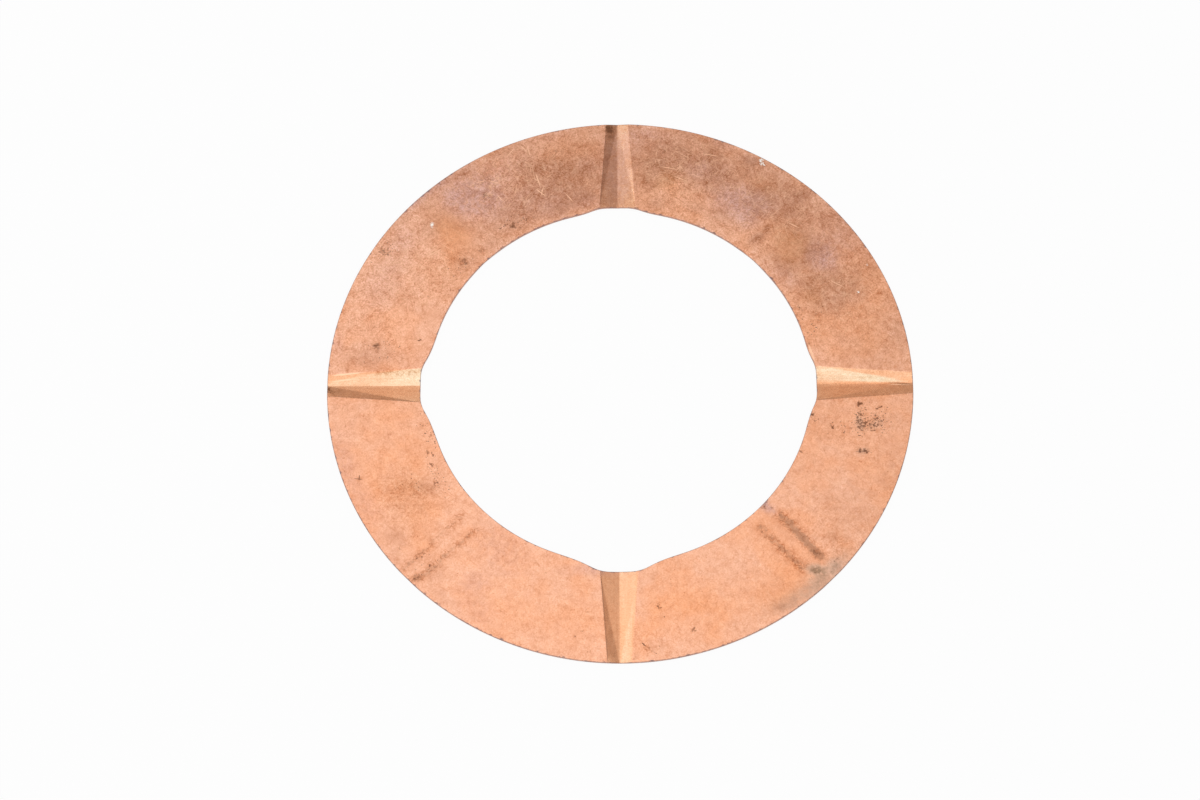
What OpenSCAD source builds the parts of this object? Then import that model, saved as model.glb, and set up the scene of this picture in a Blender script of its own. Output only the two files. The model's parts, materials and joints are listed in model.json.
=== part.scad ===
// Thrust washer punched from thin copper sheet. The bore's axis is Z, the underside lies at z = 0
// and the face with the bore notches looks up.

/* [Disc] */
// Outer diameter
outer_d = 100; // [80:0.5:140]
// Diameter of the plain bore
bore_d = 65.4; // [50:0.1:72]
// Thickness of the sheet
sheet_t = 0.5; // [0.45:0.05:2]
// Width of the broken edge round the rim and the bore, on both faces
edge_break = 0.06; // [0.02:0.01:0.1]

/* [Oil grooves] */
// Number of grooves on each face, evenly spaced
groove_count = 4; // [3:1:6]
// Width of a groove at its inner end, at the floor of a notch
groove_bore_w = 6.4; // [4:0.1:9]
// Width of a groove where it runs out through the rim
groove_rim_w = 4; // [2:0.1:6]
// Depth of the valley below the face
groove_depth = 0.22; // [0.1:0.01:0.24]

/* [Bore notches] */
// Depth of a notch behind the wall of the bore
notch_depth = 1.1; // [0.4:0.05:3]
// Width of the flat floor of a notch, between its corners
notch_floor_w = 6.4; // [4:0.1:9]
// Slope of the sides of a notch against its floor
notch_slope = 28; // [18:1:36]
// Radius in the corners of a notch
notch_corner_r = 6; // [0.5:0.1:6.1]
// Turn of the notches from the centre lines of the grooves, in degrees
notch_turn = 0.3; // [-1:0.1:1]

/* [Strike] */
// Distance that the grooves and notches were struck off the bore's centre, to the right
strike_x = -0.25; // [-0.6:0.05:0.6]
// Distance that the grooves and notches were struck off the bore's centre, to the back
strike_y = -0.4; // [-0.6:0.05:0.6]

/* [Hidden] */
$fn = 180;

copper = [0.84, 0.60, 0.47];

outer_r = outer_d / 2;
bore_r = bore_d / 2;
notch_r = bore_r + notch_depth;
groove_pitch = 360 / groove_count;

// How far the cutting shapes stand past the faces and the rim
clear = 1;

// Angle of a groove's shoulders against its centre line
shoulder_taper = atan((groove_bore_w - groove_rim_w) / 2 / (outer_r - notch_r));
// Fall of the two shallow facets, whose full width is the groove's width at the bore
valley_fall = groove_depth / (groove_bore_w / 2);
// Fall of the two steep facets, which take up the groove's whole width where it reaches the rim
shoulder_fall = groove_depth / (half_width(outer_r) * cos(shoulder_taper));

// Half the width of a groove at a distance from its centre of spacing
function half_width(distance) = groove_bore_w / 2 - (distance - notch_r) * tan(shoulder_taper);

// The shapes that run along a groove start inside the bore and end outside the rim
run_start = bore_r / 2;
run_length = outer_r + 2 * clear - run_start;

// The punched blank: a flat ring with all four edges broken
module blank() {
    rotate_extrude()
        polygon([
            [bore_r + edge_break, 0],
            [outer_r - edge_break, 0],
            [outer_r, edge_break],
            [outer_r, sheet_t - edge_break],
            [outer_r - edge_break, sheet_t],
            [bore_r + edge_break, sheet_t],
            [bore_r, sheet_t - edge_break],
            [bore_r, edge_break]
        ]);
}

// Extrudes an upright section, with its first axis across the groove, away from the bore along X
module extrude_outward(length) {
    rotate([90, 0, 90])
        linear_extrude(length)
            children();
}

// The two shallow facets and everything above them. The valley is level, and z = 0 is the face.
module valley_wedge() {
    reach = (groove_depth + clear) / valley_fall;
    translate([run_start, 0, 0])
        extrude_outward(run_length)
            polygon([[0, -groove_depth], [reach, clear], [-reach, clear]]);
}

// The steep facet on the +Y side and everything above it, level along the groove's tapered shoulder
module shoulder_wedge() {
    reach = 2 * groove_bore_w;
    translate([notch_r, half_width(notch_r), 0])
        rotate(-shoulder_taper)
            translate([run_start - notch_r, 0, 0])
                extrude_outward(run_length)
                    polygon([[-reach, -reach * shoulder_fall], [clear / shoulder_fall, clear], [-reach, clear]]);
}

// What one blow takes out of a face at z = 0: shallow beside the valley, steep beside the shoulders
module groove() {
    intersection() {
        valley_wedge();
        shoulder_wedge();
        mirror([0, 1, 0]) shoulder_wedge();
    }
}

// One face's grooves, evenly spaced round the centre of the strike
module groove_ring() {
    for (i = [0 : groove_count - 1])
        rotate(i * groove_pitch)
            groove();
}

// Points of the rounded corner on the +Y side of a notch, from the floor to the side
function corner_arc(steps = 6) =
    let (
        centre_x = notch_r - notch_corner_r,
        centre_y = notch_floor_w / 2 - notch_corner_r * tan(notch_slope / 2)
    )
    [for (i = [0 : steps])
        let (a = notch_slope * i / steps)
        [centre_x + notch_corner_r * cos(a), centre_y + notch_corner_r * sin(a)]];

// The other side of an outline about the X axis, in reverse order
function mirrored(points) = [for (i = [len(points) - 1 : -1 : 0]) [points[i][0], -points[i][1]]];

// One notch through the sheet. Its sides run in as far as the bore's wall is parallel to them.
module notch() {
    side_y = bore_r * sin(notch_slope);
    side_x = notch_r - (side_y - notch_floor_w / 2) * tan(notch_slope);
    half = concat(corner_arc(), [[side_x, side_y], [0, side_y]]);
    translate([0, 0, -clear])
        linear_extrude(sheet_t + 2 * clear)
            polygon(concat(mirrored(half), half));
}

module notch_ring() {
    for (i = [0 : groove_count - 1])
        rotate(i * groove_pitch)
            notch();
}

module thrust_washer() {
    color(copper)
        difference() {
            blank();
            translate([strike_x, strike_y, 0]) {
                rotate(notch_turn)
                    notch_ring();
                translate([0, 0, sheet_t])
                    groove_ring();
                // The underside's grooves lie half way between those of the upper face
                rotate(groove_pitch / 2)
                    mirror([0, 0, 1])
                        groove_ring();
            }
        }
}

thrust_washer();
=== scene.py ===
"""A worn copper thrust washer with struck oil grooves, lying on a pale floor."""
import json
import math

import bpy
import numpy as np
from mathutils import Matrix, Vector


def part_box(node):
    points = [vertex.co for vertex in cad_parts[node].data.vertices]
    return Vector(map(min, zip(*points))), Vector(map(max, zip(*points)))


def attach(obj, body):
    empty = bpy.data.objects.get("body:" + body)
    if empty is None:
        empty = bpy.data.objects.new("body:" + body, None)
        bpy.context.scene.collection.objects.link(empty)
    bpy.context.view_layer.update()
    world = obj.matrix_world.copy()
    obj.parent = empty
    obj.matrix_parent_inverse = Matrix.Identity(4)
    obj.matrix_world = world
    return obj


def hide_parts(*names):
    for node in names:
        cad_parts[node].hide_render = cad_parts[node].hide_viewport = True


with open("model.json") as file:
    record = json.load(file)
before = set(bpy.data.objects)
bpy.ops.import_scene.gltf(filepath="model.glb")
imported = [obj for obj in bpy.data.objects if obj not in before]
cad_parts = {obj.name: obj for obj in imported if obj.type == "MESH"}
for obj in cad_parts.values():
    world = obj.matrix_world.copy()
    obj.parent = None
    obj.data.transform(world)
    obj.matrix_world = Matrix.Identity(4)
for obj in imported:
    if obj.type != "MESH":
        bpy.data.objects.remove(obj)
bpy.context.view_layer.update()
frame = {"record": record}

# Lengths are in millimetres until a mesh or a shader takes them, in metres
MM = 0.001

# The ring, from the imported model
NODE = "thrust_washer"
low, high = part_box(NODE)
OUTER_R = (high[0] - low[0]) / 2 / MM
SHEET = (high[2] - low[2]) / MM
BORE_R = next(m for m in frame["record"]["mounts"] if m["name"] == "bore")["dims"]["r_mm"]

# The struck grooves and notches, as the CAD model has them
GROOVES = 4
PITCH = math.tau / GROOVES
STRIKE = (-0.25, -0.4)
GROOVE_BORE_W = 6.4
GROOVE_RIM_W = 4.0
GROOVE_DEPTH = 0.22
NOTCH_R = BORE_R + 1.1
NOTCH_FLOOR_W = 6.4
NOTCH_SLOPE = math.radians(28)
NOTCH_CORNER_R = 6.0
NOTCH_TURN = math.radians(0.3)

# What the tools left: rounded creases and shoulders, notches that blend into the bore, rolled edges
# above and below, and bruises
CREASE_ROUND = 0.06
SHOULDER_ROUND = 0.01
MOUTH_BLEND = 0.7
ROLL_TOP = 0.10
ROLL_UNDER = 0.05
BRUISE_DEPTH = 0.012
# The rim stays this far inside the CAD model's
RIM_INSET = 0.0005

# How far inside and outside the bore a notch's outline is looked for
NOTCH_SEARCH = (2, 4)
# How far past the bore and the rim the end of a lane is looked for
LANE_SEARCH = 5


def smooth_max(a, b, width):
    """The larger of a and b, with the corner between them rounded over width."""
    overlap = np.maximum(width - np.abs(a - b), 0) / width
    return np.maximum(a, b) + overlap * overlap * width / 4


def smooth_step(x, start, end):
    """0 before start, 1 past end, and a smooth rise between them."""
    t = np.clip((x - start) / (end - start), 0, 1)
    return t * t * (3 - 2 * t)


def along_and_across(x, y, angle):
    """Places along and across the groove at that angle, from the centre of the strike."""
    dx, dy = x - STRIKE[0], y - STRIKE[1]
    return dx * np.cos(angle) + dy * np.sin(angle), dy * np.cos(angle) - dx * np.sin(angle)


def half_width(along):
    """Half the width of a groove at a distance from the centre of the strike."""
    share = (along - NOTCH_R) / (OUTER_R - NOTCH_R)
    return (GROOVE_BORE_W - share * (GROOVE_BORE_W - GROOVE_RIM_W)) / 2


def groove_depth(x, y, first):
    """Depth below the face of the ring of grooves that starts at the angle first."""
    depth = np.zeros_like(x)
    for i in range(GROOVES):
        along, across = along_and_across(x, y, first + i * PITCH)
        off = np.hypot(across, CREASE_ROUND)
        shallow = GROOVE_DEPTH * (1 - off / (GROOVE_BORE_W / 2))
        steep = GROOVE_DEPTH * (half_width(along) - off) / (GROOVE_RIM_W / 2)
        cut = smooth_max(np.minimum(shallow, steep), 0, SHOULDER_ROUND)
        depth = np.maximum(depth, np.where(along > 0, cut, 0))
    return depth


def notch_reach(across):
    """How far out a notch's outline lies, at a distance to either side of its centre line."""
    off = np.abs(across)
    flat = NOTCH_FLOOR_W / 2 - NOTCH_CORNER_R * math.tan(NOTCH_SLOPE / 2)
    arc_end = NOTCH_CORNER_R * math.sin(NOTCH_SLOPE)
    rise = np.clip(off - flat, 0, arc_end)
    arc = NOTCH_R - NOTCH_CORNER_R + np.sqrt(NOTCH_CORNER_R ** 2 - rise ** 2)
    side = NOTCH_R - (off - NOTCH_FLOOR_W / 2) * math.tan(NOTCH_SLOPE)
    return np.where(off > flat + arc_end, side, arc)


def in_notch(x, y):
    """True inside one of the notches, whose sides end where the bore's wall is parallel to them."""
    inside = np.zeros(np.shape(x), bool)
    for i in range(GROOVES):
        along, across = along_and_across(x, y, i * PITCH + NOTCH_TURN)
        near = np.abs(across) < BORE_R * math.sin(NOTCH_SLOPE)
        inside |= near & (along > 0) & (along < notch_reach(across))
    return inside


def bisect(inside, near, far, rounds=30):
    """Where inside stops being true between near and far, for each element of the two arrays."""
    near, far = np.array(near, float), np.array(far, float)
    for _ in range(rounds):
        middle = (near + far) / 2
        within = inside(middle)
        near = np.where(within, middle, near)
        far = np.where(within, far, middle)
    return near


def hole_radius(bearing):
    """Radius of the hole's outline at a bearing from the bore's centre, notches and all."""
    def inside(radius):
        return in_notch(radius * np.cos(bearing), radius * np.sin(bearing))

    bore = np.full(np.shape(bearing), BORE_R)
    notch = bisect(inside, bore - NOTCH_SEARCH[0], bore + NOTCH_SEARCH[1])
    return smooth_max(bore, notch, MOUTH_BLEND)


def rim_radius(bearing):
    """Radius of the rim, which is the same at every bearing."""
    return np.full(np.shape(bearing), OUTER_R - RIM_INSET)


# The mesh's lines across the ring follow these lanes, to both sides of each groove. 0 is the valley,
# 1 the crease between the facets and 2 the shoulder. Past it a unit is a millimetre of land.
LANES = (0, 0.04, 0.3, 0.6, 0.85, 1, 1.05, 1.25, 1.5, 1.75, 1.93, 2, 2.06, 2.3)
# The crease's lane keeps between these shares of the groove's half width
CREASE_SHARES = (0.03, 0.985)
# Lines between one groove's lanes and the next groove's
LAND_STATIONS = 54
# Distances of rows of vertices from an edge, and the number of rows between those
EDGE_ROWS = (0, 0.006, 0.02, 0.045, 0.08, 0.12, 0.2, 0.4)
MIDDLE_ROWS = 38
# Rows of quads in the walls of the hole and of the rim
WALL_ROWS = 3


def lane_across(lane, along):
    """Distance of a lane from the groove's centre line."""
    half = half_width(along)
    crease = GROOVE_BORE_W / 2 * (OUTER_R - along) / (OUTER_R - NOTCH_R)
    crease = np.clip(crease, CREASE_SHARES[0] * half, CREASE_SHARES[1] * half)
    off = np.abs(lane)
    steep = crease + (off - 1) * (half - crease)
    return np.sign(lane) * np.where(off < 1, off * crease, np.where(off < 2, steep, half + off - 2))


def lane_bearings(radius_at):
    """Bearings at which the lanes of every groove, of both faces, meet an outline."""
    lane = np.array([-f for f in LANES[:0:-1]] + list(LANES))[None, :]
    angle = np.arange(2 * GROOVES)[:, None] * PITCH / 2

    def place(along):
        across = lane_across(lane, along)
        x = STRIKE[0] + along * np.cos(angle) - across * np.sin(angle)
        y = STRIKE[1] + along * np.sin(angle) + across * np.cos(angle)
        return x, y

    def inside(along):
        x, y = place(along)
        return np.hypot(x, y) < radius_at(np.arctan2(y, x))

    shape = np.broadcast(lane, angle).shape
    near, far = np.full(shape, BORE_R - LANE_SEARCH), np.full(shape, OUTER_R + LANE_SEARCH)
    x, y = place(bisect(inside, near, far))
    return angle + (np.arctan2(y, x) - angle + math.pi) % math.tau - math.pi


def stations(radius_at):
    """Bearings at which the lines across the ring meet an outline: lanes, and even steps between."""
    lanes = lane_bearings(radius_at)
    here = lanes[:, -1:]
    there = np.append(lanes[1:, :1], lanes[:1, :1] + math.tau, 0)
    lands = here + (there - here) * np.linspace(0, 1, LAND_STATIONS + 2)[None, 1:-1]
    return np.concatenate([lanes, lands], 1).ravel()


def ring_grid():
    """Plan of the ring's vertices: x, y and the distance to the nearest edge, by station and row."""
    inner, outer = stations(hole_radius), stations(rim_radius)
    r_in, r_out = hole_radius(inner), rim_radius(outer)
    start = np.stack([r_in * np.cos(inner), r_in * np.sin(inner)], -1)
    end = np.stack([r_out * np.cos(outer), r_out * np.sin(outer)], -1)
    length = np.linalg.norm(end - start, axis=1)[:, None]
    rows = np.array(EDGE_ROWS)[None, :] / length
    middle = rows[:, -1:] + (1 - 2 * rows[:, -1:]) * np.linspace(0, 1, MIDDLE_ROWS + 2)[None, 1:-1]
    share = np.concatenate([rows, middle, 1 - rows[:, ::-1]], 1)
    x = start[:, :1] + share * (end - start)[:, :1]
    y = start[:, 1:] + share * (end - start)[:, 1:]
    return x, y, np.minimum(share, 1 - share) * length


def rolled(distance, radius):
    """Drop of the face at a distance from an edge that is rounded to that radius."""
    rest = np.clip(radius - distance, 0, radius)
    return radius - np.sqrt(radius ** 2 - rest ** 2)


# Bruises on the upper face, most of them over the edges of the underside's grooves: from, to, half
# width, strength
UPPER_BRUISES = (
    (-33.2, 27.8, -27.2, 22.6, 0.7, 0.3), (-30, 32, -23.6, 26.4, 0.7, 0.1),
    (-41.5, 2.1, -34.8, 1.9, 0.8, 0.45), (24.2, 27, 26.4, 29.6, 0.7, 0.5),
    (26.4, 29.6, 33.2, 36.4, 0.7, 0.25), (27.4, 24.4, 35, 32.2, 0.7, 0.2),
    (26.9, -24.6, 33.2, -31.7, 1.05, 1), (23.2, -26.6, 30.2, -33.8, 0.95, 0.76),
    (4.1, -47.3, 5.9, -47.4, 0.35, 0.6), (4.2, -47.7, 5.4, -48.2, 0.4, 0.55),
    (5.9, -47.2, 8.2, -46.2, 0.4, 0.35), (34.2, -28.2, 36.6, -28.9, 0.6, 0.35),
    (-26.4, -24, -36, -33.6, 0.95, 0.53), (-32.6, -30.4, -35.4, -33, 0.7, 0.62),
    (-24.2, -26.8, -34.2, -35.6, 0.95, 0.6), (-30, -32.7, -33.9, -35.6, 0.8, 0.75),
    (-39.2, -16.9, -36.8, -17.6, 0.8, 0.3), (-34.2, -18.5, -31.2, -19.4, 0.7, 0.45),
    (-38.4, -19.6, -33.6, -20.8, 2.3, 0.42),
)
# Bruises on the underside, two below each upper groove: from and to along the groove, distance to
# either side of its centre line, half width, strength
UNDER_REACH = (34.5, 46)
UNDER_ACROSS = 2.05
UNDER_HALF_W = 0.6
UNDER_STRENGTH = 0.6


def segment_band(x, y, x0, y0, x1, y1, half):
    """1 along a segment, falling away to the sides and past the ends."""
    length = math.hypot(x1 - x0, y1 - y0)
    ux, uy = (x1 - x0) / length, (y1 - y0) / length
    u = (x - x0) * ux + (y - y0) * uy
    off = np.hypot((y - y0) * ux - (x - x0) * uy, u - np.clip(u, 0, length))
    return np.exp(-(off / half) ** 2)


def upper_bruises(x, y):
    """Strength of the upper face's bruises, the strongest where they overlap."""
    total = np.zeros_like(x)
    for *segment, strength in UPPER_BRUISES:
        total = np.maximum(total, strength * segment_band(x, y, *segment))
    return total


def under_bruises(x, y):
    """Strength of the underside's bruises."""
    total = np.zeros_like(x)
    for i in range(GROOVES):
        along, across = along_and_across(x, y, i * PITCH)
        for side in (-UNDER_ACROSS, UNDER_ACROSS):
            band = segment_band(along, across, UNDER_REACH[0], side, UNDER_REACH[1], side, UNDER_HALF_W)
            total = np.maximum(total, UNDER_STRENGTH * band)
    return total


# The flanks of the upper grooves, with light and shade painted on by how each faces the lamps: groove,
# side, brightness, paleness and bow. Brightness over 1 is painted light and under 1 painted shade, and
# paleness is a painted highlight. Brightness and paleness are given for the shallow facet at the bore,
# for the shallow facet at the rim and for the steep facet. A bow under 1 lets the shallow facet widen
# sooner from the rim, and at 1 its edge is straight.
FLANKS = (
    (0, -1, (0.76, 0.74, 0.79), (0, 0, 0), 1), (0, 1, (1, 1, 0.98), (0.6, 1, 0.16), 0.9),
    (1, -1, (0.97, 1.11, 1.34), (0, 0, 0), 1), (1, 1, (0.64, 0.7, 0.5), (0, 0, 0), 1),
    (2, -1, (0.99, 0.95, 0.93), (0.84, 0.36, 0), 0.6), (2, 1, (0.95, 0.84, 0.72), (0, 0, 0), 1),
    (3, -1, (0.635, 0.65, 0.485), (0, 0, 0), 1), (3, 1, (0.97, 0.99, 1), (0.12, 0, 0.3), 1),
)
# Corners of the grooves at the rim where the flanks' painted light, shade and highlight give way to plain
# metal
UNTONED_CORNERS = (
    (-50, -2.5, 1.3, 0.7, 0, 1), (-2.4, -50.2, 0.9, 1.1, 0, 1), (49.3, 0.2, 2, 0.5, 0, 0.9),
)
# Where across each groove one flank gives way to the other, and over which half width
VALLEYS = (0.22, 0, 0, 0)
VALLEY_BLEND = 0.12
# How far inside and outside the shoulder a flank gives way to the land
SHOULDER_BLEND = (0.1, 0.05)
# The one shoulder where the flank's painted light fades out slowly: groove, side, and how far inside it
# the flank gives way
SOFT_SHOULDER = (3, 1, 0.8)
# Distances from the crease at which the change from the shallow to the steep facet starts and ends
CREASE_BLEND = (-0.1, 0.15)
# A shallow facet has its value at the rim from this distance before the rim
FACET_END = 6
# A painted highlight: a bright line inside the shoulders of the flanks that face the light
GLEAM = 0.12
GLEAM_INSET = 0.05
GLEAM_HALF_W = 0.1
# A band along one valley where the flanks' painted light and shade give way to one even brightness:
# groove, where across it the band fades in and out, brightness
VALLEY_BAND_GROOVE = 0
VALLEY_BAND_IN = (-0.3, -0.14)
VALLEY_BAND_OUT = (0.1, 0.3)
VALLEY_BAND_TONE = 0.9
# How steeply a soft patch falls off. 1 would be a bell curve.
PATCH_FALL = 1.3


def patches(x, y, places):
    """Strength of soft patches: place, half length, half width, bearing of the long way, strength."""
    total = np.zeros_like(x)
    for px, py, half_long, half_wide, bearing, strength in places:
        angle = math.radians(bearing)
        u = ((x - px) * math.cos(angle) + (y - py) * math.sin(angle)) / half_long
        v = ((y - py) * math.cos(angle) - (x - px) * math.sin(angle)) / half_wide
        total += strength * np.exp(-(u * u + v * v) ** PATCH_FALL)
    return np.clip(total, 0, 1)


def on_flank(groove, side, along, across):
    """1 on one flank of a groove, 0 elsewhere."""
    off = across * side
    inner, outer = SHOULDER_BLEND
    if (groove, side) == SOFT_SHOULDER[:2]:
        inner = SOFT_SHOULDER[2]
    past_valley = smooth_step(off - VALLEYS[groove] * side, -VALLEY_BLEND, VALLEY_BLEND)
    past_shoulder = smooth_step(off - half_width(along), -inner, outer)
    return past_valley * (1 - past_shoulder) * (along > 0)


def facet_value(values, bow, along, across):
    """A flank's value at a place: along the shallow facet from bore to rim, or on the steep facet."""
    at_bore, at_rim, steep = values
    crease = GROOVE_BORE_W / 2 * np.clip((OUTER_R - along) / (OUTER_R - NOTCH_R), 0, 1) ** bow
    shallow = at_bore + (at_rim - at_bore) * smooth_step(along, NOTCH_R, OUTER_R - FACET_END)
    return shallow + (steep - shallow) * smooth_step(np.abs(across) - crease, *CREASE_BLEND)


def flank_tones(x, y):
    """Painted light and shade on the struck flanks: brightness, where 1 is plain metal, and paleness, a
    painted highlight.
    """
    tone, pale = np.ones_like(x), np.zeros_like(x)
    # The flanks' painted light fades out at a few corners at the rim
    toned = 1 - patches(x, y, UNTONED_CORNERS)
    for groove, side, brightness, paleness, bow in FLANKS:
        along, across = along_and_across(x, y, groove * PITCH)
        here = on_flank(groove, side, along, across) * toned
        tone += (facet_value(brightness, bow, along, across) - 1) * here
        pale += facet_value(paleness, bow, along, across) * here
        if max(paleness) > 0:
            # A painted highlight along the shoulder of each pale flank
            off_line = np.abs(across) - half_width(along) + GLEAM_INSET
            tone += GLEAM * np.exp(-(off_line / GLEAM_HALF_W) ** 2) * here
    # Along one valley the painted light and shade give way to one even brightness
    along, across = along_and_across(x, y, VALLEY_BAND_GROOVE * PITCH)
    valley_band = smooth_step(across, *VALLEY_BAND_IN) * (1 - smooth_step(across, *VALLEY_BAND_OUT)) * (along > 0)
    return tone + (VALLEY_BAND_TONE - tone) * valley_band, pale


# Soft patches, as the function patches takes them. Mauve-grey film:
MAUVE = (
    # Back left
    (-24.5, 35, 4.2, 4, 30, 1), (-28.5, 35.5, 3, 3, 45, 0.6), (-17, 35, 6, 3.5, 10, 0.45),
    (-11, 33.5, 4, 2.5, 10, 0.4), (-38, 27, 3, 2.5, 45, 0.35), (-26, 38.8, 6, 3, 35, 0.35),
    (-41, 19, 5, 3, 60, 0.25), (-0.3, 40.5, 3, 7.5, 0, 0.65), (-20, 41, 5, 3, 30, 0.4),
    (-33.6, 36.6, 7, 0.9, 42, 0.7), (-11.8, 47.8, 3, 1, 15, 0.3), (-5.4, 41.5, 2, 2, 0, 0.5),
    (-5.8, 35, 2, 1.5, 0, 0.7), (-48.5, 7.5, 1.2, 2, 0, 0.3),
    # Back right
    (15, 41, 3.5, 2.2, -20, 0.7), (20.5, 34.8, 4.5, 3.2, -15, 1), (25, 34, 3, 2.4, 0, 0.8),
    (22.5, 30.8, 2.4, 1.8, 0, 0.5), (35, 23.2, 3.6, 2.6, -50, 1), (38, 27.5, 5, 4, -50, 0.45),
    (29, 20, 3.5, 2, -50, 0.4), (4, 46, 5, 3, 0, 0.3), (5, 48, 5, 1.2, -5, 0.3),
    (18.5, 45.8, 2.5, 1, -22, 0.4), (34, 24.8, 2, 2, 0, 0.3),
    # Front right
    (24.5, -22.9, 1.8, 0.8, -40, 1),
    # Front left
    (-20, -30, 5, 4, -45, 0.25), (-43, -22, 5, 2, -63, 0.25), (-24, -41, 4, 2.5, -30, 0.2),
    (-46.8, -14, 5, 2, -73, 0.3), (-24.2, -36.2, 2.5, 2, 0, 0.3), (-3.8, -33.9, 5, 1.1, 0, 0.45),
)
# Brown oxide
BROWN = (
    # Back left
    (-12, 38, 6.5, 4.5, 10, 1), (-9.5, 37.3, 3.5, 3, 0, 0.9), (-43, 5.2, 4.5, 2.2, 5, 0.5),
    (-2, 42, 16, 7, 0, 0.45), (-19, 31.5, 5, 3.5, 30, 0.7), (-5, 37, 6, 3, 0, 0.1),
    (-27, 22.5, 2, 1.6, 30, 0.4), (-8, 38, 6, 5, 0, 0.4), (-25.5, 37.5, 5, 4, 35, 0.3),
    (-31, 21, 5, 4, 0, 0.15), (-39.5, 22.2, 3.2, 1.8, 0, 0.25), (-31, 38, 2, 1.5, 40, 0.3),
    (-34.5, 35, 2.5, 2, 45, 0.4), (-29, 31, 4.5, 2, -25, 0.4), (-20, 44.8, 4, 1.6, 25, 0.45),
    (-10.8, 32.8, 2.5, 1.5, 10, 0.5), (-33, 29.5, 2, 2, 0, 0.5), (-22, 26.2, 2.2, 1.4, 30, 0.4),
    (-17.2, 41.5, 2.5, 2, 20, 0.3), (-26.8, 41.2, 2.5, 1.2, 35, 0.35), (-38, 31.2, 2.2, 1.2, 50, 0.35),
    (-28.5, 28, 5, 3, -50, 0.2),
    # Back right
    (8.5, 42.8, 3, 1.8, 20, 0.9), (6, 38.3, 1.4, 1.6, 0, 0.4), (19, 41, 5, 3, -30, 0.35),
    (23.5, 42.6, 2, 1, -20, 0.7), (32, 35.3, 2.6, 1, 25, 0.8), (24.5, 27.6, 2.4, 0.9, 40, 0.8),
    (35.5, 17, 3.5, 3.2, 0, 0.6), (30, 31, 4, 3, 45, 0.45), (40.5, 20, 3.4, 2.6, 0, 0.5),
    (34, 30, 9, 9, 45, 0.45), (7.5, 41.2, 4, 2.6, 0, 0.8), (43, 8, 6, 8, 0, 0.3),
    (30.7, 20.6, 4, 3, -55, 0.35), (26, 38.8, 6, 3.5, -35, 0.6), (9, 42, 6, 4, 0, 0.45),
    (9, 45.3, 5, 2, -10, 0.35), (30, 25.2, 4.5, 4, 45, 0.6), (25.5, 34.5, 4, 3, 0, 0.5),
    (24.5, 33.5, 4, 3, 0, 0.2), (8, 39.5, 3, 2.5, 0, 0.3), (12.8, 47.5, 2.5, 1.2, -15, 0.35),
    (46.8, 15.2, 1.6, 2, 0, 0.35), (36, 16.3, 5, 4, 20, 0.75), (17, 44.5, 2.5, 3.5, 0, 0.55),
    (16.8, 38.2, 3.8, 2.8, 0, 0.65), (18, 31.8, 2.2, 1.6, 0, 0.5), (48.2, 9, 1.5, 3, 10, 0.3),
    (6.5, 33.8, 1.8, 1.2, 0, 0.5), (44.2, 21.5, 2.5, 1.2, -64, 0.4), (41, 17, 2.2, 2, 0, 0.4),
    (13.5, 33.2, 2, 1.2, -20, 0.4),
    # Front right
    (36, -28.5, 2, 1.4, 0, 0.35), (38, -24, 5, 4, -30, 0.25), (34.3, -8, 2.4, 4, 0, 0.15),
    (45.3, -17.5, 1.8, 3, -15, 0.25), (25, -38, 4, 3, 30, 0.15), (27, -40, 3, 1.2, 25, 0.75),
    (35.4, -34, 1.8, 1, 45, 0.5),
    # Front left
    (-35, -19.5, 5, 4, 0, 0.1), (-33.5, -19, 2.8, 1.3, -8, 0.6), (-38.5, -18, 3, 2.2, 0, 0.12),
    (-30.5, -35, 1.5, 1.2, 0, 0.3), (-35.5, -23.5, 6, 4, 60, 0.25), (-37.5, -28, 2, 1.2, -20, 0.4),
    (-29.5, -38.3, 2.2, 1.2, -30, 0.3), (-37.4, -31.6, 2.2, 1.3, -45, 0.35),
)
# Bare, warmer metal
WARM = (
    # Back left
    (-29, 28, 4.8, 2.6, -50, 1), (-22.5, 40.5, 3.4, 1.5, 45, 0.6), (-31, 21, 5, 5, 0, 0.4),
    # Back right
    (8.5, 38, 2.6, 2.6, 0, 0.9), (30, 25.2, 3.2, 2.6, 45, 0.9), (26, 37.5, 3, 2, -30, 0.5),
    (27.5, 27.5, 3, 2, 45, 0.5), (38, 22, 12, 10, -60, 0.5), (42, 4, 8, 8, 0, 0.4),
    (0, 42, 20, 6, 0, 0.3), (33, 15.5, 2, 2, 0, 0.5),
    # Front right
    (10, -42, 8, 4.5, 8, 0.8), (25, -36, 5, 4, 40, 0.5), (40, -9, 8, 6, 0, 0.7),
    (42, -1.6, 10, 1.5, 2, 1), (27, -37.5, 6, 3, 35, 0.6), (36, -26, 6, 6, 45, 0.35),
    (22, -28, 5, 3, 40, 0.3), (46, -18, 2, 5, -15, 0.4), (18, -39.5, 8, 4, 20, 0.3),
    (46, -4.8, 2.5, 1.6, 0, 0.4), (34, -5, 2, 1.6, 0, 0.4), (33.2, -8.5, 1.5, 2, 0, 0.4),
    # Front left
    (-8, -43, 6, 4, 0, 0.7), (-33, -23, 3.5, 3, 0, 0.7), (-36, -12, 4, 4, 0, 0.4),
    (-42, -1.8, 10, 1.5, 2, 0.8), (-36, -20, 8, 7, 60, 0.5), (-39.5, -7, 3, 2.5, 0, 0.4),
    (-37.6, -19, 3, 2.5, 0, 0.5),
)
# Where the oxide lies thickest, and how much it darkens the metal
THICK_OXIDE = (
    (-9.5, 37.4, 2.6, 2.2, 0, 1), (36, 16.2, 3, 2.4, 0, 0.5), (7, 41, 2, 2.2, 0, 0.9),
    (13.2, 40, 1.6, 1.6, 0, 0.6),
)
THICK_OXIDE_SHADE = 0.12
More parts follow.
